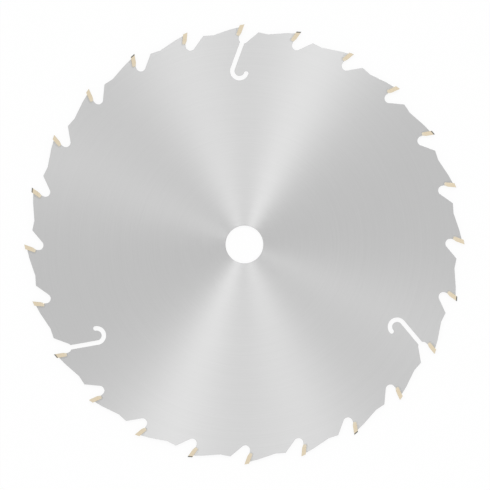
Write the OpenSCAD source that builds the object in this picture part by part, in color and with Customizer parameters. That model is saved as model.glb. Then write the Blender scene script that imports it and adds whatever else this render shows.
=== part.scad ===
// Circular saw blade for wood: a laser-cut steel plate with brazed carbide tips.
// The blade lies in the XY plane, with its bore on Z and its mid-plane at Z = 0.
// It cuts clockwise as seen from above. Tooth 1 stands on +Y and the count runs clockwise.

/* [Plate] */
// Diameter of the circle that the tips cut
blade_d = 350; // [260:5:450]
// Thickness of the steel plate
plate_t = 2.5; // [1.6:0.1:3.6]
// Number of teeth, a whole number of runs of three grinds
teeth = 24; // [12:3:27]

/* [Arbor bore] */
// Diameter of the bore
bore_d = 30; // [16:0.5:60]
// Width of the broken edge at each end of the bore
bore_chamfer = 0.3; // [0.1:0.05:0.6]

/* [Carbide tips] */
// Length of a tip down its rake face
tip_l = 10.2; // [6:0.2:14]
// Thickness of a tip, from its rake face to its back
tip_t = 3.25; // [2.25:0.05:4.5]
// How far a tip stands out beyond each side of the plate
tip_overhang = 0.5; // [0.3:0.05:0.9]
// How far the back of a tip stands up above the steel behind it
tip_proud = 1.9; // [0.8:0.1:3]
// Hook angle, by which the rake face leans forward
hook = 20; // [0:1:25]
// Clearance angle of the top of a tip
relief = 10; // [6:0.5:18]
// Side slope of the top of a bevelled tip
bevel = 15; // [5:1:20]
// How much lower than the bevelled tips the flat rakers cut
raker_drop = 0.5; // [0.2:0.05:1]
// Angle at which the sides of a tip narrow to its back
side_relief_back = 2; // [0.5:0.5:3]
// Angle at which the sides of a tip narrow to its foot
side_relief_down = 1; // [0.25:0.25:1.5]
// Length of the slope at the foot of the rake face, which leads into the gullet
tip_foot = 3; // [1:0.1:4]
// How far behind the root of the gullet the foot of a tip lies
tip_inset = 0.25; // [0.1:0.05:0.5]
// Chamfer on the lower back edge of a tip
tip_heel = 0.4; // [0.2:0.05:0.8]
// Thickness of the braze in a seat
braze_t = 0.2; // [0.1:0.05:0.4]

/* [Gullets] */
// Radius of the root of a gullet
gullet_r = 3.75; // [2.5:0.05:5]
// How far the root of a gullet reaches back behind the rake face
gullet_setback = 0.5; // [0.1:0.05:1]
// Depth from the bottom of a seat to the middle of the root
gullet_wall = 0.6; // [0.4:0.05:5]
// Opening of a gullet, from the cutting edge to the shoulder of the next tooth
gullet_w = 11.25; // [9:0.05:14]

/* [Tooth backs] */
// Length of the land behind a tip
land_l = 6.6; // [3:0.1:9]
// Angle at which the land falls away behind a tip
land_angle = 14; // [8:0.5:20]
// How far the nose of the shoulder lies inside the cutting circle
shoulder_drop = 6; // [5:0.1:8]
// Length of the shoulder, from its nose to the foot of the tooth's back
shoulder_l = 7.8; // [4:0.2:11]
// How much nearer the centre the foot of the back lies than the nose
shoulder_fall = 0.9; // [0.2:0.1:2]

/* [Expansion slots] */
// Number of slots around the blade
slots = 3; // [1:1:4]
// Width of a slot
slot_w = 3.55; // [1.5:0.05:4.5]
// Straight length of a slot, from the centre of the gullet's root to its bend
slot_l = 25.2; // [12:0.2:45]
// Radius of the bend, on the slot's middle line
slot_bend_r = 5.7; // [4:0.1:9]

/* [Hidden] */
$fn = 96;
blade_r = blade_d / 2;
kerf = plate_t + 2 * tip_overhang;
pitch = 360 / teeth;
// The seat leaves room for the braze behind and under the tip
seat_t = tip_t + braze_t;
seat_l = tip_l + braze_t;
seat_chamfer = tip_heel + braze_t * (2 - sqrt(2));
// The front end of a tip's foot and of the seat under it
foot_x = -(gullet_setback + tip_inset);
// Height of a bevelled tip's back edge and of the steel crest, down from the cutting edge
tip_back_top = tip_t * tan(hook + relief);
crest_y = -(tip_back_top + tip_proud);
// The straight walls of a gullet lap this far inside its round root, to run into it cleanly
lap = 0.02;
// Room that a cutter needs beyond what it cuts
spare = 1;
// Grinds in the order in which they pass: the side on which the top is high, 0 for a flat raker
GRINDS = [1, -1, 0];

steel_colour = [0.80, 0.80, 0.80];
carbide_colour = [0.87, 0.82, 0.72];
braze_colour = [0.56, 0.56, 0.55];

function number(i) = str(i < 10 ? "0" : "", i);
function tip_name(i) = str("carbide_tip_", number(i));
function braze_name(i) = str("braze_seam_", number(i));

// A vector turned clockwise by an angle
function turned(v, a) = [v.x * cos(a) + v.y * sin(a), v.y * cos(a) - v.x * sin(a)];

// A point given from a tooth's cutting edge, with -Y down the rake face and -X back from it
function on_tooth(p) = [0, blade_r] + turned(p, hook);

// The middle of a gullet's root, in the tooth's own axes
root = [gullet_r - gullet_setback, -(seat_l + gullet_wall)];

// The shoulder ahead of a gullet: its nose, and the foot of the back that rises behind it
nose_r = blade_r - shoulder_drop;
foot_r = nose_r - shoulder_fall;
nose_a = asin(gullet_w / nose_r);
foot_a = nose_a + shoulder_l / foot_r * 180 / PI;
nose = nose_r * [sin(nose_a), cos(nose_a)];
foot = foot_r * [sin(foot_a), cos(foot_a)];

// Where a straight wall from a point runs into the root, on the left of the point or on its right
function at_root(p, side) =
    let (
        from_root = p - on_tooth(root),
        r = gullet_r - lap,
        a = atan2(from_root.y, from_root.x) + side * acos(r / norm(from_root))
    )
    on_tooth(root) + r * [cos(a), sin(a)];

// The land behind a tip falls from the crest of the seat to the heel
crest = on_tooth([-seat_t, crest_y]);
seat_front = on_tooth([foot_x, -seat_l]);
heel = crest - land_l * [cos(land_angle), sin(land_angle)];

// The steel edge of one tooth and its gullet, clockwise from the heel
TOOTH_EDGE = [
    heel,
    crest,
    on_tooth([-seat_t, seat_chamfer - seat_l]),
    on_tooth([seat_chamfer - seat_t, -seat_l]),
    seat_front,
    at_root(seat_front, 1),
    at_root(nose, -1),
    nose,
    foot
];

// Places a shape in a tooth's own axes, at the cutting edge of tooth i
module at_tooth(i) {
    rotate(-(i - 1) * pitch)
        translate([0, blade_r, 0])
            rotate(-hook)
                children();
}

// A half of the plane, below the X axis
module lower_half(reach) {
    translate([-reach, -reach])
        square([2 * reach, reach]);
}

// A hooked slot from the middle of a gullet's root, in the tooth's own axes
module expansion_slot() {
    bend = [root.x + slot_bend_r, root.y - slot_l];
    slot_end = [bend.x + slot_bend_r, bend.y];
    translate([root.x - slot_w / 2, bend.y])
        square([slot_w, slot_l]);
    translate(bend)
        intersection() {
            difference() {
                circle(r = slot_bend_r + slot_w / 2);
                circle(r = slot_bend_r - slot_w / 2);
            }
            lower_half(slot_bend_r + slot_w);
        }
    translate(slot_end)
        rotate(180)
            intersection() {
                circle(d = slot_w);
                lower_half(slot_w);
            }
}

module plate_outline() {
    difference() {
        polygon([for (i = [1:teeth]) for (p = TOOTH_EDGE) turned(p, (i - 1) * pitch)]);
        for (i = [1:teeth]) {
            at_tooth(i)
                translate(root)
                    circle(r = gullet_r);
        }
        for (k = [0:slots - 1]) {
            at_tooth(1 + floor(k * teeth / slots))
                expansion_slot();
        }
    }
}

module arbor_bore() {
    cylinder(d = bore_d, h = plate_t + 2 * spare, center = true);
    for (side = [0, 1]) {
        mirror([0, 0, side])
            translate([0, 0, plate_t / 2 - bore_chamfer])
                cylinder(r1 = bore_d / 2, r2 = bore_d / 2 + bore_chamfer + spare, h = bore_chamfer + spare);
    }
}

// Steel plate with teeth, seats, gullets, slots and bore
module blade_body() {
    color(steel_colour)
        difference() {
            linear_extrude(plate_t, center = true)
                plate_outline();
            arbor_bore();
        }
}

// Everything above a tip's ground top, in the tooth's own axes
module above_top(high_side) {
    drop = high_side == 0 ? raker_drop / cos(hook) : 0;
    reach = 2 * (tip_t + kerf);
    translate([0, -drop, high_side * kerf / 2])
        rotate([0, 0, hook + relief])
            rotate([-high_side * bevel, 0, 0])
                translate([-reach / 2, 0, -reach / 2])
                    cube(reach);
}

// Everything beyond a tip's ground sides, in the tooth's own axes
module beyond_sides() {
    reach = 3 * tip_l;
    for (side = [0, 1]) {
        mirror([0, 0, side])
            translate([0, 0, kerf / 2])
                rotate([side_relief_down, -side_relief_back, 0])
                    translate([-reach / 2, -reach / 2, 0])
                        cube(reach);
    }
}

// One carbide tip: its top is ground to a bevel that is high on one side, or to a flat raker
module carbide_tip(i) {
    color(carbide_colour)
        at_tooth(i)
            difference() {
                linear_extrude(kerf + 2 * spare, center = true)
                    polygon([
                        [0, spare],
                        [0, tip_foot - tip_l],
                        [foot_x, -tip_l],
                        [tip_heel - tip_t, -tip_l],
                        [-tip_t, tip_heel - tip_l],
                        [-tip_t, spare]
                    ]);
                above_top(GRINDS[(i - 1) % len(GRINDS)]);
                beyond_sides();
            }
}

// The braze behind and under one tip, as wide as the plate
module braze_seam(i) {
    color(braze_colour)
        at_tooth(i)
            linear_extrude(plate_t, center = true)
                polygon([
                    [-tip_t, crest_y],
                    [-seat_t, crest_y],
                    [-seat_t, seat_chamfer - seat_l],
                    [seat_chamfer - seat_t, -seat_l],
                    [foot_x, -seat_l],
                    [foot_x, -tip_l],
                    [tip_heel - tip_t, -tip_l],
                    [-tip_t, tip_heel - tip_l]
                ]);
}

blade_body();
for (i = [1:teeth]) {
    carbide_tip(i);
    braze_seam(i);
}
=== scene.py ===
"""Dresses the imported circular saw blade: ground steel plate, carbide tips and braze, on a white studio floor.

The blade lies in the XY plane with its bore on Z. Lengths are in metres unless a name says otherwise.
"""

import logging
import math
import random
from dataclasses import dataclass, field
from enum import Enum
from typing import Any

import bmesh
import bpy
from mathutils import Matrix, Vector


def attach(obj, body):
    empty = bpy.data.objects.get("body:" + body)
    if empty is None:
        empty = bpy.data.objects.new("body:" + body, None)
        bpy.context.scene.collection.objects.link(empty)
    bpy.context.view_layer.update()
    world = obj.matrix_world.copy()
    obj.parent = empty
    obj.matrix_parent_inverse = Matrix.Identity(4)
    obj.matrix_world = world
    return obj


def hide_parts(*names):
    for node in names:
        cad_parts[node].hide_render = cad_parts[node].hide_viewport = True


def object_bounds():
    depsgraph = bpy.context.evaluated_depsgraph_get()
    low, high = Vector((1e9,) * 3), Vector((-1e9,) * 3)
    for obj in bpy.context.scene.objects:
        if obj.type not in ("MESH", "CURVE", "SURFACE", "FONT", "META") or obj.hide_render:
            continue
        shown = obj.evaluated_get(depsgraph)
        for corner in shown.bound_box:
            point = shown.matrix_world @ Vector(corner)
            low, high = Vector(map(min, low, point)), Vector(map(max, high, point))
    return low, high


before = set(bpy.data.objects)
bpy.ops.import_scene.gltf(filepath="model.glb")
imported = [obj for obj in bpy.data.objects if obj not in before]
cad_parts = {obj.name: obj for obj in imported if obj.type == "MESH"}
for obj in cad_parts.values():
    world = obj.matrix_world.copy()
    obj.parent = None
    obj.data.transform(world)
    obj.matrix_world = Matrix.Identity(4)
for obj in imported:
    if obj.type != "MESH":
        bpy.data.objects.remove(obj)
CAD_LOW, CAD_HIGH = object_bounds()

log = logging.getLogger("saw_blade")

BODY = "root"
BAKE_MAP = "OFBake"
MM = 0.001
FULL_TURN = 2 * math.pi
# A point that is nearer than this to another point, or to a line or plane, counts as on it
TOUCH = 1e-7
NEAR = 1e-6
Colour = tuple[float, float, float]


class TipFace(Enum):
    """Material slots of a carbide tip."""

    FLANK = 0
    GROUND = 1


class PlateFace(Enum):
    """Material slots of the steel plate."""

    GROUND = 0
    CUT = 1
    BORE = 2


class Side(Enum):
    """The two faces of the plate, by the way that they look along Z."""

    UPPER = 1
    LOWER = -1


class Blend(Enum):
    """Ways to put one colour over another."""

    MIX = "MIX"
    MULTIPLY = "MULTIPLY"


class Graph:
    """Adds nodes to one node tree and joins them."""

    # Places of a Mix node's sockets for colours
    MIX_FACTOR = 0
    MIX_FIRST = 6
    MIX_SECOND = 7
    MIX_RESULT = 2

    def __init__(self, tree: bpy.types.NodeTree) -> None:
        """Takes the node tree of a material, a world or a shader group to work on."""
        self.tree = tree

    def feed(self, node: bpy.types.Node, values: dict[Any, Any]) -> None:
        """Sets or joins a node's inputs.

        Args:
            node: a node of the tree.
            values: constants or output sockets for its inputs, by name or place.
        """
        for key, value in values.items():
            if isinstance(value, bpy.types.NodeSocket):
                self.tree.links.new(value, node.inputs[key])
            else:
                node.inputs[key].default_value = value

    def add(self, kind: str, values: dict[Any, Any] | None = None, **settings: Any) -> bpy.types.Node:
        """Makes a node.

        Args:
            kind: the node's type name.
            values: constants or output sockets for its inputs, by name or place.
            settings: properties of the node itself.

        Returns:
            The new node.
        """
        node = self.tree.nodes.new(kind)
        for name, value in settings.items():
            setattr(node, name, value)
        self.feed(node, values or {})
        return node

    def group(self, tree: bpy.types.NodeTree, values: dict[str, float]) -> bpy.types.NodeOutputs:
        """Places a shader group with values for its inputs, and gives its outputs."""
        return self.add("ShaderNodeGroup", values, node_tree=tree).outputs

    def math(self, operation: str, *values: Any) -> bpy.types.NodeSocket:
        """Makes a math node from constants or sockets, in order, and gives its result."""
        return self.add("ShaderNodeMath", dict(enumerate(values)), operation=operation).outputs[0]

    def around(self, tone: bpy.types.NodeSocket, middle: float, spread: float) -> bpy.types.NodeSocket:
        """Turns a tone of 0 to 1 into a number that moves by the spread round the middle."""
        return self.math("MULTIPLY_ADD", tone, spread, middle - spread / 2)

    def noise(
        self, place: bpy.types.NodeSocket, scale: Any, detail: Any, roughness: float,
    ) -> bpy.types.NodeSocket:
        """Gives soft noise, near 0.5 on average, with its scale in waves to a unit of length."""
        values = {"Vector": place, "Scale": scale, "Detail": detail, "Roughness": roughness}
        return self.add("ShaderNodeTexNoise", values).outputs[0]

    def mix(self, factor: Any, first: Any, second: Any, blend: Blend = Blend.MIX) -> bpy.types.NodeSocket:
        """Blends two colours.

        Args:
            factor: share of the second colour.
            first: the first colour, as four numbers or a socket.
            second: the second colour, as four numbers or a socket.
            blend: how the second goes over the first.

        Returns:
            The blended colour.
        """
        values = {self.MIX_FACTOR: factor, self.MIX_FIRST: first, self.MIX_SECOND: second}
        node = self.add("ShaderNodeMix", values, data_type="RGBA", blend_type=blend.value)
        return node.outputs[self.MIX_RESULT]


def opaque(colour: Colour, scale: float = 1.0) -> tuple[float, float, float, float]:
    """Gives a linear colour, times a scale, with full alpha, as a colour socket takes it."""
    return (colour[0] * scale, colour[1] * scale, colour[2] * scale, 1.0)


def new_group(name: str, inputs: dict[str, float], outputs: tuple[str, ...]) -> bpy.types.NodeTree:
    """Makes an empty shader group with number sockets.

    Args:
        name: the group's name.
        inputs: its inputs with their first values.
        outputs: its outputs.

    Returns:
        The group's tree.
    """
    tree = bpy.data.node_groups.new(name, "ShaderNodeTree")
    for socket_name, value in inputs.items():
        socket = tree.interface.new_socket(socket_name, in_out="INPUT", socket_type="NodeSocketFloat")
        socket.default_value = value
    for socket_name in outputs:
        tree.interface.new_socket(socket_name, in_out="OUTPUT", socket_type="NodeSocketFloat")
    return tree


def show(name: str, data: bpy.types.ID) -> bpy.types.Object:
    """Puts a new object into the scene.

    Args:
        name: the object's name.
        data: its mesh, lamp or camera.

    Returns:
        The object.
    """
    item = bpy.data.objects.new(name, data)
    bpy.context.scene.collection.objects.link(item)
    return item


def new_piece(name: str, bm: bmesh.types.BMesh, sharp_limit: float) -> bpy.types.Object:
    """Makes a mesh into a piece that rides on the blade.

    Args:
        name: the piece's name.
        bm: its mesh, which is freed.
        sharp_limit: angle from which an edge shows as sharp.

    Returns:
        The piece.
    """
    for edge in bm.edges:
        edge.smooth = edge.calc_face_angle(math.pi) < sharp_limit
    mesh = bpy.data.meshes.new(name)
    bm.to_mesh(mesh)
    bm.free()
    piece = show(name, mesh)
    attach(piece, BODY)
    log.info("built %s with %d faces", name, len(mesh.polygons))
    return piece


def nodes_called(start: str) -> list[str]:
    """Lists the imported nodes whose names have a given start, in order."""
    return sorted(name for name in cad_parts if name.startswith(start))


def turn_of(point: Vector) -> float:
    """Gives the angle of a point round the bore."""
    return math.atan2(point.y, point.x)


def wrapped(angle: float) -> float:
    """Gives the same angle within half a turn of 0."""
    return (angle + math.pi) % FULL_TURN - math.pi


@dataclass
class Effects:
    """Shader groups that several finishes share."""

    fine_share: float = 0.85
    broad_scale: float = 0.13
    grinding: bpy.types.NodeTree = field(init=False)
    mottle: bpy.types.NodeTree = field(init=False)

    def __post_init__(self) -> None:
        """Builds each group once."""
        self.grinding = self._grinding_lines()
        self.mottle = self._mottle()

    def _grinding_lines(self) -> bpy.types.NodeTree:
        """Lines that a grinding wheel leaves round the blade's axis.

        Returns:
            A group with the lines' tone and height, both near 0.5 on average.
        """
        tree = new_group("grinding_lines", {"Spacing mm": 0.6, "Break": 3.0}, ("Tone", "Height"))
        g = Graph(tree)
        given = g.add("NodeGroupInput").outputs
        place = g.add("ShaderNodeTexCoord").outputs["Object"]
        xyz = g.add("ShaderNodeSeparateXYZ", {0: place}).outputs
        flat = g.add("ShaderNodeCombineXYZ", {"X": xyz["X"], "Y": xyz["Y"]}).outputs[0]
        radius = g.add("ShaderNodeVectorMath", {0: flat}, operation="LENGTH").outputs["Value"]
        around = g.add("ShaderNodeVectorMath", {0: flat}, operation="NORMALIZE").outputs["Vector"]
        turn = g.add("ShaderNodeSeparateXYZ", {0: around}).outputs
        spacing = g.math("MULTIPLY", given["Spacing mm"], MM)
        across = g.add("ShaderNodeCombineXYZ", {
            "X": g.math("DIVIDE", g.math("ADD", radius, xyz["Z"]), spacing),
            "Y": g.math("MULTIPLY", turn["X"], given["Break"]),
            "Z": g.math("MULTIPLY", turn["Y"], given["Break"]),
        }).outputs[0]
        fine = g.noise(across, 1.0, detail=4.0, roughness=0.65)
        broad = g.noise(across, self.broad_scale, detail=2.0, roughness=0.5)
        broad_part = g.math("MULTIPLY", broad, 1 - self.fine_share)
        tone = g.math("MULTIPLY_ADD", fine, self.fine_share, broad_part)
        g.add("NodeGroupOutput", {"Tone": tone, "Height": fine})
        return tree

    def _mottle(self) -> bpy.types.NodeTree:
        """Soft patches, as handling and oil leave on metal.

        Returns:
            A group with the patches' tone, near 0.5 on average.
        """
        tree = new_group("mottle", {"Size mm": 20.0, "Detail": 3.0}, ("Tone",))
        g = Graph(tree)
        given = g.add("NodeGroupInput").outputs
        place = g.add("ShaderNodeTexCoord").outputs["Object"]
        scale = g.math("DIVIDE", 1.0, g.math("MULTIPLY", given["Size mm"], MM))
        g.add("NodeGroupOutput", {"Tone": g.noise(place, scale, given["Detail"], roughness=0.55)})
        return tree


class Finish:
    """A bare metal finish that starts from a Principled shader."""

    QUARTER_TURN = 0.25
    name: str

    def start(self) -> tuple[bpy.types.Material, Graph, bpy.types.Node]:
        """Makes a material that holds only its shader.

        Returns:
            The material, its graph and its shader.
        """
        material = bpy.data.materials.new(self.name)
        material.use_nodes = True
        shader = material.node_tree.nodes["Principled BSDF"]
        shader.inputs["Metallic"].default_value = 1.0
        return material, Graph(material.node_tree), shader

    @staticmethod
    def shade(g: Graph, tone: bpy.types.NodeSocket, colour: Colour, contrast: float) -> bpy.types.NodeSocket:
        """Makes a colour darker at a tone of 0 and lighter at 1, by the contrast in all."""
        return g.mix(tone, opaque(colour, 1 - contrast / 2), opaque(colour, 1 + contrast / 2))

    @staticmethod
    def relief(g: Graph, height: bpy.types.NodeSocket, depth: float) -> bpy.types.NodeSocket:
        """Turns a height into a bumped normal, where a height of 1 stands for the depth."""
        return g.add("ShaderNodeBump", {"Strength": 1.0, "Distance": depth, "Height": height}).outputs[0]

    @classmethod
    def ground_round(cls, g: Graph, strength: float) -> dict[str, Any]:
        """Gives the shader's inputs that stretch the shine of a surface ground round the bore."""
        tangent = g.add("ShaderNodeTangent", direction_type="RADIAL", axis="Z").outputs[0]
        return {"Tangent": tangent, "Anisotropic": strength, "Anisotropic Rotation": cls.QUARTER_TURN}


@dataclass(frozen=True)
class GroundSteel(Finish):
    """Plate faces, ground in circles round the bore, so that they shine in bands like a fan."""

    effects: Effects
    name: str = "ground_steel"
    colour: Colour = (0.594, 0.594, 0.594)
    roughness: float = 0.473
    roughness_spread: float = 0.03
    anisotropy: float = 0.889
    line_spacing_mm: float = 0.2
    line_break: float = 2.5
    line_contrast: float = 0.17
    patch_size_mm: float = 45.0
    patch_detail: float = 3.0
    patch_contrast: float = 0.02
    groove_depth: float = 2e-6

    def material(self) -> bpy.types.Material:
        """Builds the finish.

        Returns:
            The material.
        """
        material, g, shader = self.start()
        lines = g.group(self.effects.grinding, {"Spacing mm": self.line_spacing_mm, "Break": self.line_break})
        patches = g.group(self.effects.mottle, {"Size mm": self.patch_size_mm, "Detail": self.patch_detail})
        lined = self.shade(g, lines["Tone"], self.colour, self.line_contrast)
        tint = g.around(patches["Tone"], 1.0, self.patch_contrast)
        g.feed(shader, {
            "Base Color": g.mix(1.0, lined, tint, Blend.MULTIPLY),
            "Roughness": g.around(lines["Tone"], self.roughness, self.roughness_spread),
            "Normal": self.relief(g, lines["Height"], self.groove_depth),
            **self.ground_round(g, self.anisotropy),
        })
        return material


@dataclass(frozen=True)
class CutSteel(Finish):
    """Laser-cut walls of the plate, with the fine upright lines that the beam leaves."""

    effects: Effects
    name: str = "laser_cut_steel"
    dark: Colour = (0.17, 0.165, 0.16)
    light: Colour = (0.40, 0.395, 0.385)
    roughness: float = 0.42
    roughness_spread: float = 0.2
    line_spacing: float = 0.00022
    line_length: float = 0.004
    line_detail: float = 3.0
    line_depth: float = 1.2e-5
    line_share: float = 0.5
    patch_size_mm: float = 3.0
    patch_detail: float = 4.0

    def material(self) -> bpy.types.Material:
        """Builds the finish.

        Returns:
            The material.
        """
        material, g, shader = self.start()
        place = g.add("ShaderNodeTexCoord").outputs["Object"]
        scale = (1 / self.line_spacing, 1 / self.line_spacing, 1 / self.line_length)
        upright = g.add("ShaderNodeMapping", {"Vector": place, "Scale": scale}).outputs[0]
        lines = g.noise(upright, 1.0, self.line_detail, roughness=0.6)
        patches = g.group(self.effects.mottle, {"Size mm": self.patch_size_mm, "Detail": self.patch_detail})
        line_part = g.math("MULTIPLY", lines, self.line_share)
        tone = g.math("MULTIPLY_ADD", patches["Tone"], 1 - self.line_share, line_part)
        g.feed(shader, {
            "Base Color": g.mix(tone, opaque(self.dark), opaque(self.light)),
            "Roughness": g.around(lines, self.roughness, self.roughness_spread),
            "Normal": self.relief(g, lines, self.line_depth),
        })
        return material


@dataclass(frozen=True)
class Carbide(Finish):
    """Tungsten carbide, with fine wheel lines and a faint speckle of its grains."""

    effects: Effects
    name: str
    colour: Colour
    foot_colour: Colour
    roughness: float
    roughness_spread: float = 0.08
    edge_tint: float = 1.0
    foot_from: float = 0.1688
    foot_to: float = 0.1660
    line_spacing_mm: float = 0.18
    line_break: float = 6.0
    line_contrast: float = 0.08
    grain_size_mm: float = 0.9
    grain_detail: float = 5.0
    grain_contrast: float = 0.10
    groove_depth: float = 1.5e-6

    def material(self) -> bpy.types.Material:
        """Builds the finish.

        Returns:
            The material.
        """
        material, g, shader = self.start()
        lines = g.group(self.effects.grinding, {"Spacing mm": self.line_spacing_mm, "Break": self.line_break})
        grains = g.group(self.effects.mottle, {"Size mm": self.grain_size_mm, "Detail": self.grain_detail})
        contrast = self.grain_contrast + self.line_contrast
        line_part = g.math("MULTIPLY", lines["Tone"], self.line_contrast)
        both = g.math("MULTIPLY_ADD", grains["Tone"], self.grain_contrast, line_part)
        tone = g.math("DIVIDE", both, contrast)
        upper = self.shade(g, tone, self.colour, contrast)
        lower = self.shade(g, tone, self.foot_colour, contrast)
        g.feed(shader, {
            "Base Color": g.mix(self._foot(g), upper, lower),
            "Roughness": g.around(lines["Tone"], self.roughness, self.roughness_spread),
            "Normal": self.relief(g, lines["Height"], self.groove_depth),
            "Specular Tint": opaque((1.0, 1.0, 1.0), self.edge_tint),
        })
        return material

    def _foot(self, g: Graph) -> bpy.types.NodeSocket:
        """Finds the foot of a tip by its distance from the bore.

        Args:
            g: where the nodes go.

        Returns:
            1 at the foot and 0 above it, with a soft change between.
        """
        place = g.add("ShaderNodeTexCoord").outputs["Object"]
        flat = g.add("ShaderNodeVectorMath", {0: place, 1: (1, 1, 0)}, operation="MULTIPLY")
        radius = g.add("ShaderNodeVectorMath", {0: flat.outputs[0]}, operation="LENGTH")
        soft = g.add("ShaderNodeMapRange", {
            "Value": radius.outputs["Value"], "From Min": self.foot_from, "From Max": self.foot_to,
        }, interpolation_type="SMOOTHSTEP")
        return soft.outputs[0]


@dataclass(frozen=True)
class SilverBraze(Finish):
    """Braze: dull and rippled in its fillet, and ground together with the plate in its film."""

    effects: Effects
    name: str
    colour: Colour
    roughness: float
    roughness_spread: float = 0.15
    anisotropy: float = 0.0
    patch_size_mm: float = 0.8
    patch_detail: float = 4.0
    patch_contrast: float = 0.3
    ripple: float = 1e-5

    def material(self) -> bpy.types.Material:
        """Builds the finish.

        Returns:
            The material.
        """
        material, g, shader = self.start()
        patches = g.group(self.effects.mottle, {"Size mm": self.patch_size_mm, "Detail": self.patch_detail})
        tone = patches["Tone"]
        g.feed(shader, {
            "Base Color": self.shade(g, tone, self.colour, self.patch_contrast),
            "Roughness": g.around(tone, self.roughness, self.roughness_spread),
            "Normal": self.relief(g, tone, self.ripple),
        })
        if self.anisotropy > 0:
            g.feed(shader, self.ground_round(g, self.anisotropy))
        return material


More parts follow.
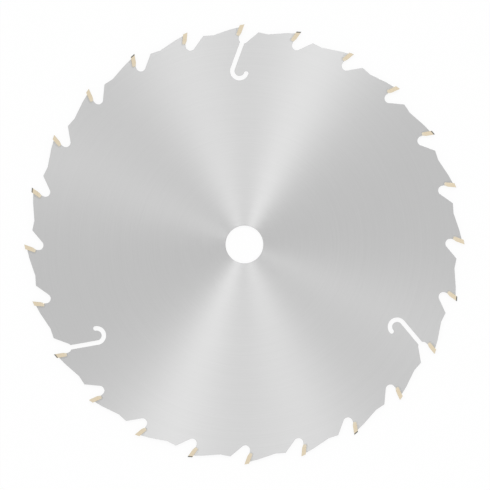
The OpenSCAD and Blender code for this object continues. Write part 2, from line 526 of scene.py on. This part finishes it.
@dataclass
class Plate:
    """The steel plate: its cut outline with broken edges, and faces split along radii and rings."""

    node_name: str = "blade_body"
    piece_name: str = "steel_plate"
    flat_limit: float = 0.99
    wall_limit: float = 0.3
    flat_angle: float = math.radians(0.2)
    sharp_limit: float = math.radians(35)
    bore_limit: float = 0.0156
    bore_cuts: int = 4
    edge_break: float = 0.00006
    edge_steps: int = 2
    sectors: int = 96
    rings: tuple[float, ...] = (0.022, 0.034, 0.052, 0.074, 0.097, 0.119, 0.138, 0.151)
    map_margin: float = 0.01
    map_faces: float = 0.4
    map_pad: float = 0.001
    map_walls: float = 0.15
    wall_rows: int = 11
    wall_margin: float = 0.04
    wall_share: float = 0.8
    piece: bpy.types.Object | None = field(default=None, init=False)

    def build(self, source: bpy.types.Object) -> None:
        """Copies the solid's mesh, cleans it, breaks its edges and maps it.

        Args:
            source: the solid's own object, which stays as it is.
        """
        bm = bmesh.new()
        bm.from_mesh(source.data)
        bmesh.ops.remove_doubles(bm, verts=bm.verts, dist=TOUCH)
        bmesh.ops.dissolve_limit(
            bm, angle_limit=self.flat_angle, use_dissolve_boundaries=False,
            verts=bm.verts, edges=bm.edges, delimit=set(),
        )
        self._round_bore(bm)
        bm.normal_update()
        bmesh.ops.bevel(
            bm, geom=self._rim_edges(bm), offset=self.edge_break, offset_type="OFFSET",
            segments=self.edge_steps, profile=0.5, affect="EDGES", clamp_overlap=True,
        )
        self._split_by_sector(bm)
        self._split_by_ring(bm)
        bmesh.ops.triangulate(bm, faces=[f for f in bm.faces if len(f.verts) > 4])
        bm.normal_update()
        self._sort_faces(bm)
        self._map(bm)
        self.piece = new_piece(self.piece_name, bm, self.sharp_limit)
        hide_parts(self.node_name)

    def _is_flat(self, face: bmesh.types.BMFace) -> bool:
        """Tells whether a face is part of the plate's upper or lower face."""
        return abs(face.normal.z) > self.flat_limit

    def _is_wall(self, face: bmesh.types.BMFace) -> bool:
        """Tells whether a face is part of the cut walls or of the bore's wall."""
        return abs(face.normal.z) < self.wall_limit

    def _round_bore(self, bm: bmesh.types.BMesh) -> None:
        """Adds points along the rings of the bore, and sets them on the rings' true circles.

        Args:
            bm: the plate's mesh.
        """
        radius_at: dict[int, float] = {}
        ring_edges = []
        for edge in bm.edges:
            first, second = (vert.co for vert in edge.verts)
            level = abs(first.z - second.z) < TOUCH
            if level and max(first.xy.length, second.xy.length) < self.bore_limit:
                ring_edges.append(edge)
                radius_at[self._level(first)] = first.xy.length
        bmesh.ops.subdivide_edges(bm, edges=ring_edges, cuts=self.bore_cuts, use_grid_fill=True)
        for vert in bm.verts:
            if vert.co.xy.length < self.bore_limit:
                vert.co.xy *= radius_at[self._level(vert.co)] / vert.co.xy.length

    @staticmethod
    def _level(point: Vector) -> int:
        """Tells the rings of the bore apart by their height."""
        return round(point.z / NEAR)

    def _rim_edges(self, bm: bmesh.types.BMesh) -> list[bmesh.types.BMEdge]:
        """Finds the edges between the plate's faces and its cut walls.

        Args:
            bm: the plate's mesh.

        Returns:
            The edges to break.
        """
        found = []
        for edge in bm.edges:
            faces = edge.link_faces
            if any(self._is_flat(f) for f in faces) and any(self._is_wall(f) for f in faces):
                found.append(edge)
        return found

    def _split_by_sector(self, bm: bmesh.types.BMesh) -> None:
        """Cuts all faces along radii, and takes out the other edges that lie in the plate's two faces.

        Args:
            bm: the plate's mesh.
        """
        for k in range(self.sectors // 2):
            angle = FULL_TURN * k / self.sectors
            normal = Vector((-math.sin(angle), math.cos(angle), 0))
            geom = list(bm.verts) + list(bm.edges) + list(bm.faces)
            bmesh.ops.bisect_plane(bm, geom=geom, dist=TOUCH, plane_co=(0, 0, 0), plane_no=normal)
        bm.normal_update()
        slanting = [edge for edge in bm.edges if self._slants(edge)]
        bmesh.ops.dissolve_edges(bm, edges=slanting, use_verts=True)

    def _slants(self, edge: bmesh.types.BMEdge) -> bool:
        """Tells whether an edge lies in a face of the plate and off the radii.

        Args:
            edge: an edge of the plate.

        Returns:
            True for an edge that the solid's own mesh left between its bore and its rim.
        """
        if not all(self._is_flat(face) for face in edge.link_faces):
            return False
        first, second = (vert.co.xy for vert in edge.verts)
        return abs(first.cross(second)) > NEAR * (second - first).length

    def _split_by_ring(self, bm: bmesh.types.BMesh) -> None:
        """Cuts the faces of each sector across, so that no face runs from the bore to the rim.

        Args:
            bm: the plate's mesh.
        """
        sector = FULL_TURN / self.sectors
        groups: dict[int, list[bmesh.types.BMFace]] = {}
        for face in bm.faces:
            number = math.floor(turn_of(face.calc_center_median()) / sector)
            groups.setdefault(number, []).append(face)
        for number, faces in groups.items():
            middle = (number + 0.5) * sector
            out = Vector((math.cos(middle), math.sin(middle), 0))
            for radius in self.rings:
                parts = dict.fromkeys(part for f in faces for part in (f, *f.edges, *f.verts))
                cut = bmesh.ops.bisect_plane(
                    bm, geom=list(parts), dist=NEAR,
                    plane_co=out * radius * math.cos(sector / 2), plane_no=out,
                )
                faces = [part for part in cut["geom"] if isinstance(part, bmesh.types.BMFace)]

    def _sort_faces(self, bm: bmesh.types.BMesh) -> None:
        """Gives each face its material slot, and smooth shading to all but the plate's two faces.

        Args:
            bm: the plate's mesh.
        """
        for face in bm.faces:
            face.smooth = not self._is_flat(face)
            kind = PlateFace.GROUND
            if self._is_wall(face):
                near_bore = face.calc_center_median().xy.length < self.bore_limit
                kind = PlateFace.BORE if near_bore else PlateFace.CUT
            face.material_index = kind.value

    def _wall_runs(self, bm: bmesh.types.BMesh) -> dict[tuple[int, int], float]:
        """Walks along the cut walls and the bore, and measures the way.

        Args:
            bm: the plate's mesh.

        Returns:
            The length run at each corner of each wall face, by the numbers of the face and of the point.
        """
        walls = [face for face in bm.faces if self._is_wall(face)]
        waiting = set(walls)
        runs: dict[tuple[int, int], float] = {}
        run = 0.0
        for first in walls:
            face = first if first in waiting else None
            entry = None
            while face is not None:
                waiting.discard(face)
                uprights = [e for e in face.edges if self._upright(e)]
                entry = entry or uprights[0]
                leave = uprights[1] if uprights[0] is entry else uprights[0]
                runs.update({(face.index, v.index): run for v in entry.verts})
                run += (leave.verts[0].co.xy - entry.verts[0].co.xy).length
                runs.update({(face.index, v.index): run for v in leave.verts})
                face = next((f for f in leave.link_faces if f in waiting), None)
                entry = leave
        return runs

    @staticmethod
    def _upright(edge: bmesh.types.BMEdge) -> bool:
        """Tells whether an edge stands across the plate's thickness."""
        way = edge.verts[1].co - edge.verts[0].co
        return abs(way.z) > way.xy.length

    def _outward(self, bm: bmesh.types.BMesh) -> dict[int, Vector]:
        """Finds the way out of the plate at each point of its walls.

        Args:
            bm: the plate's mesh.

        Returns:
            A way of length 1 by the number of the point.
        """
        found: dict[int, Vector] = {}
        for face in bm.faces:
            if self._is_wall(face):
                for vert in face.verts:
                    found[vert.index] = found.get(vert.index, Vector((0, 0))) + face.normal.xy.normalized()
        return {number: way.normalized() for number, way in found.items()}

    def _map(self, bm: bmesh.types.BMesh) -> None:
        """Lays out the faces round the bore, angle across and radius up, and the walls in rows above them.

        The broken edges are wider on the map than they are, to keep the walls' dark colour off the faces.

        Args:
            bm: the plate's mesh.
        """
        layer = bm.loops.layers.uv.new(BAKE_MAP)
        bm.faces.index_update()
        bm.verts.index_update()
        reach = max(v.co.xy.length for v in bm.verts)
        half_t = max(v.co.z for v in bm.verts)
        runs = self._wall_runs(bm)
        outward = self._outward(bm)
        row_run = max(runs.values()) / self.wall_rows
        row_height = self.map_walls / self.wall_rows
        lower_start = self.map_faces + 3 * self.map_margin
        for face in bm.faces:
            if self._is_wall(face):
                along = [runs[face.index, loop.vert.index] / row_run for loop in face.loops]
                row = min(int(sum(along) / len(along)), self.wall_rows - 1)
                start = 1 - self.map_walls + row_height * row
                for loop, run in zip(face.loops, along):
                    height = 0.5 + self.wall_share / 2 * loop.vert.co.z / half_t
                    across = self.wall_margin + (1 - 2 * self.wall_margin) * (run - row)
                    loop[layer].uv = (across, start + row_height * height)
                continue
            middle = turn_of(face.calc_center_median())
            start = self.map_margin if face.normal.z > 0 else lower_start
            for loop in face.loops:
                spot = loop.vert.co.xy + self.map_pad * outward.get(loop.vert.index, Vector((0, 0)))
                turn = middle + wrapped(turn_of(spot) - middle)
                loop[layer].uv = (turn / FULL_TURN + 0.5, start + self.map_faces * spot.length / reach)

    def dress(self, ground: bpy.types.Material, cut: bpy.types.Material) -> None:
        """Gives the faces their finishes.

        Args:
            ground: finish of the plate's two faces and of its bore.
            cut: finish of the laser-cut walls.
        """
        finishes = {PlateFace.GROUND: ground, PlateFace.CUT: cut, PlateFace.BORE: ground}
        for kind in PlateFace:
            self.piece.data.materials.append(finishes[kind])


@dataclass(frozen=True)
class Tooth:
    """Sizes of a tooth in its own axes: X ahead of the rake face, Y up along it, from the cutting edge."""

    count: int
    blade_radius: float = 0.175
    hook: float = math.radians(20)
    land_fall: float = math.radians(14)
    plate_half: float = 0.00125
    kerf_half: float = 0.00175
    narrows_back: float = math.tan(math.radians(2))
    narrows_down: float = math.tan(math.radians(1))
    # Corners of the tip and of its seat from the crest to the gullet, and the way out over the plate there
    tip_path_mm: tuple[tuple[float, float], ...] = (
        (-3.25, -3.776), (-3.25, -9.8), (-2.85, -10.2), (-0.75, -10.2),
    )
    seat_path_mm: tuple[tuple[float, float], ...] = (
        (-3.45, -3.776), (-3.45, -9.883), (-2.933, -10.4), (-0.75, -10.4),
    )
    ways_out: tuple[float, ...] = (math.pi, math.pi, 1.5 * math.pi, 1.5 * math.pi)

    def place(self, index: int) -> Matrix:
        """Gives the matrix from a tooth's own axes to the blade's, where teeth count from 0."""
        turn = Matrix.Rotation(-FULL_TURN * index / self.count, 4, "Z")
        return turn @ Matrix.Translation((0, self.blade_radius, 0)) @ Matrix.Rotation(-self.hook, 4, "Z")

    def flank_height(self, x: float, y: float) -> float:
        """Gives the distance of a tip's flank from the mid-plane, at a place in the tooth's own axes."""
        return self.kerf_half + self.narrows_back * x + self.narrows_down * y


@dataclass
class Tips:
    """The carbide tips: the solids themselves, with beige flanks, and ground tops and rake faces in grey
    carbide made darker by painted shade.
    """

    names: list[str]
    tooth: Tooth
    flank_limit: float = 0.9
    rake_limit: float = 0.7
    top_limit: float = 0.5
    edge_hone: float = 0.000035
    edge_limit: float = math.radians(12)
    flat_angle: float = math.radians(1)

    def dress(self, flank: bpy.types.Material, ground: bpy.types.Material) -> None:
        """Gives each face of each tip its finish, and hones the edges.

        Args:
            flank: finish of the sides and the back.
            ground: finish of the top and the rake face: grey carbide, made darker by painted shade.
        """
        finishes = {TipFace.FLANK: flank, TipFace.GROUND: ground}
        for index, name in enumerate(self.names):
            axes = self.tooth.place(index).to_3x3()
            ahead, up = axes.col[0], axes.col[1]
            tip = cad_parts[name]
            tip.data.materials.clear()
            for kind in TipFace:
                tip.data.materials.append(finishes[kind])
            for face in tip.data.polygons:
                side = abs(face.normal.z) > self.flank_limit
                worked = face.normal.dot(ahead) > self.rake_limit or face.normal.dot(up) > self.top_limit
                kind = TipFace.GROUND if worked and not side else TipFace.FLANK
                face.material_index = kind.value
            self._hone(tip)
            log.info("dressed %s", name)

    def _hone(self, tip: bpy.types.Object) -> None:
        """Breaks a tip's edges by a hair, so that they catch the light.

        Args:
            tip: the tip's object.
        """
        weld = tip.modifiers.new("weld", "WELD")
        weld.merge_threshold = NEAR
        join = tip.modifiers.new("join", "DECIMATE")
        join.decimate_type = "DISSOLVE"
        join.angle_limit = self.flat_angle
        join.delimit = {"MATERIAL"}
        hone = tip.modifiers.new("hone", "BEVEL")
        hone.width = self.edge_hone
        hone.segments = 1
        hone.limit_method = "ANGLE"
        hone.angle_limit = self.edge_limit
        hone.use_clamp_overlap = True
        hone.harden_normals = True


@dataclass(frozen=True)
class Section:
    """A cross-section of a seam: its ends on the tip and on the plate, the seat's wall, the fillet's rise."""

    inner: Vector
    outer: Vector
    wall: Vector
    rise: float


@dataclass
class Seams:
    """The braze behind and under each tip, with its small fillet, and the thin film that it left around, darker
    than the steel partly by its own tone and partly as painted shade.
    """

    names: list[str]
    tooth: Tooth
    film_name: str = "braze_film_and_painted_shade"
    slot: str = "braze"
    steps: tuple[int, ...] = (26, 4, 10)
    wide: float = 0.0016
    narrow: float = 0.0005
    taper: float = 0.0011
    end_share: float = 0.12
    wave_count: int = 3
    wave_rates: tuple[float, float] = (375.0, 1125.0)
    wave_share: float = 0.24
    fill: float = 0.22
    fillet_power: float = 12.0
    film_height: float = 0.000012
    feather: float = 0.000004
    sink: float = 0.00002
    land_margin: float = 0.00009
    fillet_shares: tuple[float, ...] = (0.0, 0.05, 0.11)
    film_shares: tuple[float, ...] = (0.11, 0.18, 0.28, 0.45, 0.72, 1.0)
    sharp_limit: float = math.radians(40)
    map_margin: float = 0.05
    beads: list[bpy.types.Object] = field(default_factory=list, init=False)
    film: bpy.types.Object | None = field(default=None, init=False)

    def build(self) -> None:
        """Makes each bead in place of its solid, and one film over all seats."""
        film = bmesh.new()
        layer = film.loops.layers.uv.new(BAKE_MAP)
        for index, name in enumerate(self.names):
            place = self.tooth.place(index)
            sections = self._sections(random.Random(index))
            bead = bmesh.new()
            self._loft(bead, [self._bead_ring(section) for section in sections], place)
            for row, side in enumerate(Side):
                faces = self._loft(film, [self._film_ring(section, side) for section in sections], place)
                self._map(layer, faces, index, row)
            piece = new_piece(name.replace("braze_seam", "braze_bead"), bead, self.sharp_limit)
            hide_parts(name)
            self.beads.append(piece)
        self.film = new_piece(self.film_name, film, self.sharp_limit)

    def _stations(self) -> list[tuple[Vector, Vector, Vector]]:
        """Walks along the seat from its crest to the gullet.

        Returns:
            For each station, the point on the tip, the point on the seat and the way out over the plate.
        """
        scale = Matrix.Scale(MM, 2)
        tip = [scale @ Vector(p) for p in self.tooth.tip_path_mm]
        seat = [scale @ Vector(p) for p in self.tooth.seat_path_mm]
        ways = self.tooth.ways_out
        found = []
        for leg, count in enumerate(self.steps):
            first = 0 if leg == 0 else 1
            for k in range(first, count + 1):
                t = k / count
                angle = ways[leg] * (1 - t) + ways[leg + 1] * t
                out = Vector((math.cos(angle), math.sin(angle)))
                found.append((tip[leg].lerp(tip[leg + 1], t), seat[leg].lerp(seat[leg + 1], t), out))
        return found

    def _sections(self, chance: random.Random) -> list[Section]:
        """Works out the cross-sections of one seam along its seat.

        Args:
            chance: source of the film's small waves.

        Returns:
            The sections from the crest to the gullet.
        """
        stations = self._stations()
        run = [0.0]
        for (_, a, _), (_, b, _) in zip(stations, stations[1:]):
            run.append(run[-1] + (b - a).length)
        waves = []
        for _ in range(self.wave_count):
            waves.append((chance.uniform(*self.wave_rates), chance.uniform(0, FULL_TURN)))
        land_room = 1 / math.tan(self.tooth.hook + self.tooth.land_fall)
        sections = []
        for (tip, seat, out), s in zip(stations, run):
            near_end = min(1.0, s / self.taper, (run[-1] - s) / self.taper)
            ease = self.end_share + (1 - self.end_share) * near_end
            wave = 1 + self.wave_share * sum(math.sin(f * s + a) for f, a in waves) / len(waves)
            width = (self.wide + (self.narrow - self.wide) * s / run[-1]) * wave * ease
            width = max(self.sink, min(width, land_room * (s - self.land_margin)))
            rise = (self.tooth.flank_height(tip.x, tip.y) - self.tooth.plate_half) * self.fill * ease
            sections.append(Section(tip - out * self.sink, seat + out * width, seat + out * self.sink, rise))
        return sections

    def _surface(self, section: Section, share: float) -> Vector:
        """Finds a point on the upper side of the braze.

        Args:
            section: where the point lies along the seam.
            share: how far out it lies, from 0 at the tip to 1 at the film's edge.

        Returns:
            The point in the tooth's own axes.
        """
        spot = section.inner.lerp(section.outer, share)
        skin = self.feather + (self.film_height - self.feather) * math.sqrt(1 - share)
        fillet = section.rise * (1 - share) ** self.fillet_power
        return Vector((*spot, self.tooth.plate_half + skin + fillet))

    def _bead_ring(self, section: Section) -> list[Vector]:
        """Draws a bead's outline at one section.

        Args:
            section: where it is.

        Returns:
            Its corners, in order round it.
        """
        half = self.tooth.plate_half
        upper = [self._surface(section, share) for share in self.fillet_shares]
        upper.append(Vector((*upper[-1].xy, half - self.sink)))
        upper.append(Vector((*section.wall, half - 2 * self.sink)))
        return upper + [Vector((p.x, p.y, -p.z)) for p in reversed(upper)]

    def _film_ring(self, section: Section, side: Side) -> list[Vector]:
        """Draws the film's outline at one section.

        Args:
            section: where it is.
            side: the face of the plate that it lies on.

        Returns:
            Its corners, in order round it.
        """
        ring = [self._surface(section, share) for share in self.film_shares]
        for corner in (ring[-1], ring[0]):
            ring.append(Vector((*corner.xy, self.tooth.plate_half - self.sink)))
        return [Vector((p.x, p.y, side.value * p.z)) for p in ring]

    @staticmethod
    def _loft(bm: bmesh.types.BMesh, rings: list[list[Vector]], place: Matrix) -> list[bmesh.types.BMFace]:
        """Joins outlines into one closed body.

        Args:
            bm: where the body goes.
            rings: the outlines' corners, in order.
            place: the matrix from their axes to the blade's.

        Returns:
            The body's faces.
        """
        loops = [[bm.verts.new(place @ corner) for corner in ring] for ring in rings]
        faces = []
        for first, second in zip(loops, loops[1:]):
            for k in range(len(first)):
                n = (k + 1) % len(first)
                faces.append(bm.faces.new((first[k], first[n], second[n], second[k])))
        for face in faces:
            face.smooth = True
        faces += [bm.faces.new(loops[0]), bm.faces.new(list(reversed(loops[-1])))]
        bmesh.ops.recalc_face_normals(bm, faces=faces)
        return faces

    def _map(
        self, layer: bmesh.types.BMLayerItem, faces: list[bmesh.types.BMFace], column: int, row: int,
    ) -> None:
        """Maps one stretch of film into its own cells, angle across and radius up, like the plate under it.

        Args:
            layer: the map.
            faces: the faces of the stretch.
            column: place of its tooth in the run.
            row: place of its side of the plate. Faces that are turned to the plate lie two rows higher.
        """
        points = [v.co for face in faces for v in face.verts]
        start = turn_of(points[0])
        turns = [wrapped(turn_of(p) - start) for p in points]
        reaches = [p.xy.length + abs(p.z) for p in points]
        spots = iter(zip(turns, reaches))
        first, near = min(turns), min(reaches)
        turn_scale = (1 - 2 * self.map_margin) / (max(turns) - first)
        reach_scale = (1 - 2 * self.map_margin) / (max(reaches) - near)
        for face in faces:
            hidden = face.normal.z * face.calc_center_median().z < 0
            cell = row + len(Side) if hidden else row
            for loop in face.loops:
                turn, reach = next(spots)
                u = self.map_margin + turn_scale * (turn - first)
                v = self.map_margin + reach_scale * (reach - near)
                loop[layer].uv = ((column + u) / self.tooth.count, (cell + v) / (2 * len(Side)))

    def dress(self, fillet: bpy.types.Material, film: bpy.types.Material) -> None:
        """Gives the braze its finishes.

        Args:
            fillet: finish of the beads, which show as a fillet against the tip.
            film: finish of the film on the plate, darker than the steel partly by the braze's own tone and
                partly as painted shade beside each tip.
        """
        for bead in self.beads:
            bead.data.materials.append(fillet)
        self.film.data.materials.append(film)


@dataclass(frozen=True)
class Lamp:
    """One distant lamp, by the direction that it shines from."""

    name: str
    azimuth_deg: float
    zenith_deg: float
    strength: float


@dataclass
class Studio:
    """White floor, even white surroundings, three distant lamps and a camera straight above."""

    floor_z: float
    lamps: tuple[Lamp, ...] = (
        Lamp("key_lamp", 68.4, 34.9, 0.385),
        Lamp("fill_lamp", 107.7, 29.4, 0.278),
        Lamp("side_lamp", 155.1, 36.8, 0.1425),
    )
    lamp_angle_deg: float = 8.0
    ambient: float = 0.75
    floor_side: float = 8.0
    floor_glow: float = 0.915
    floor_colour: Colour = (0.085, 0.085, 0.085)
    camera_height: float = 12.0
    view_width: float = 0.38961
    view_plane: float = 0.00125
    view_centre: tuple[float, float] = (0.000465, -0.000461)
    sensor: float = 36.0
    clip_start: float = 0.01
    clip_end: float = 100.0

    def build(self) -> None:
        """Makes the floor, the surroundings, the lamps and the camera."""
        self._floor()
        self._world()
        for lamp in self.lamps:
            self._lamp(lamp)
        self._camera()
        bpy.context.scene.view_settings.view_transform = "Standard"

    @staticmethod
    def _seen(g: Graph) -> bpy.types.NodeSocket:
        """Tells rays that show the surroundings from rays that light the object.

        Args:
            g: where the nodes go.

        Returns:
            1 for camera, glossy and transmission rays, and 0 for others.
        """
        path = g.add("ShaderNodeLightPath").outputs
        shown = g.math("MAXIMUM", path["Is Camera Ray"], path["Is Glossy Ray"])
        return g.math("MAXIMUM", shown, path["Is Transmission Ray"])

    def _floor(self) -> None:
        """Lays the floor under the lowest points of the tips."""
        half = self.floor_side / 2
        corners = [(-half, -half), (half, -half), (half, half), (-half, half)]
        mesh = bpy.data.meshes.new("floor")
        mesh.from_pydata([(x, y, self.floor_z) for x, y in corners], [], [(0, 1, 2, 3)])
        floor = show("floor", mesh)
        material = bpy.data.materials.new("studio_floor")
        material.use_nodes = True
        material.node_tree.nodes.clear()
        g = Graph(material.node_tree)
        paper = g.add("ShaderNodeBsdfDiffuse", {"Color": opaque(self.floor_colour)})
        glow = g.add("ShaderNodeEmission", {"Strength": g.math("MULTIPLY", self._seen(g), self.floor_glow)})
        lit = g.add("ShaderNodeAddShader", {0: paper.outputs[0], 1: glow.outputs[0]})
        g.add("ShaderNodeOutputMaterial", {"Surface": lit.outputs[0]})
        mesh.materials.append(material)

    def _world(self) -> None:
        """Surrounds the blade with even white."""
        world = bpy.data.worlds.new("studio")
        world.use_nodes = True
        world.node_tree.nodes.clear()
        g = Graph(world.node_tree)
        strength = g.math("MULTIPLY_ADD", self._seen(g), 1 - self.ambient, self.ambient)
        back = g.add("ShaderNodeBackground", {"Color": opaque((1.0, 1.0, 1.0)), "Strength": strength})
        g.add("ShaderNodeOutputWorld", {"Surface": back.outputs[0]})
        bpy.context.scene.world = world

    def _lamp(self, lamp: Lamp) -> None:
        """Hangs one distant lamp.

        Args:
            lamp: its direction and strength.
        """
        light = bpy.data.lights.new(lamp.name, "SUN")
        light.energy = lamp.strength
        light.angle = math.radians(self.lamp_angle_deg)
        a, z = math.radians(lamp.azimuth_deg), math.radians(lamp.zenith_deg)
        towards = Vector((math.sin(z) * math.cos(a), math.sin(z) * math.sin(a), math.cos(z)))
        item = show(lamp.name, light)
        item.location = towards
        item.rotation_euler = towards.to_track_quat("Z", "Y").to_euler()

    def _camera(self) -> None:
        """Sets the camera straight above, far off, with the photograph's frame."""
        data = bpy.data.cameras.new("camera")
        data.sensor_width = self.sensor
        data.lens = self.sensor * (self.camera_height - self.view_plane) / self.view_width
        data.clip_start = self.clip_start
        data.clip_end = self.clip_end
        camera = show("camera", data)
        camera.location = (*self.view_centre, self.camera_height)
        bpy.context.scene.camera = camera


def main() -> None:
    """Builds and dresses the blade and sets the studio."""
    logging.basicConfig(level=logging.INFO, format="%(name)s: %(message)s")
    effects = Effects()

    plate = Plate()
    plate.build(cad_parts[plate.node_name])
    steel = GroundSteel(effects)
    plate.dress(ground=steel.material(), cut=CutSteel(effects).material())

    tip_names = nodes_called("carbide_tip_")
    tooth = Tooth(count=len(tip_names))
    beige = Carbide(
        effects, name="carbide_flank", roughness=0.28,
        colour=(0.70, 0.605, 0.45), foot_colour=(0.708, 0.636, 0.507),
    )
    # Ground carbide is grey. This colour is made darker still as painted shade, standing in for the dark
    # surroundings that the tops and rake faces reflect.
    grey_and_painted_shade = Carbide(
        effects, name="ground_carbide_painted_shade", roughness=0.32, edge_tint=0.55, line_contrast=0.4,
        colour=(0.205, 0.198, 0.172), foot_colour=(0.205, 0.198, 0.172),
    )
    Tips(tip_names, tooth).dress(flank=beige.material(), ground=grey_and_painted_shade.material())

    seams = Seams(nodes_called("braze_seam_"), tooth)
    seams.build()
    fillet = SilverBraze(effects, name="braze_fillet", colour=(0.42, 0.41, 0.385), roughness=0.66)
    # The film's colour is darker than the steel's: partly the braze's own tone, and partly painted shade beside
    # each tip where it stands proud of the plate.
    film = SilverBraze(
        effects, name="braze_film_and_painted_shade", colour=(0.54, 0.54, 0.535), ripple=2e-6,
        roughness=steel.roughness, anisotropy=steel.anisotropy,
    )
    seams.dress(fillet=fillet.material(), film=film.material())

    Studio(floor_z=CAD_LOW.z).build()
    bpy.context.view_layer.update()


if __name__ == "__main__":
    main()
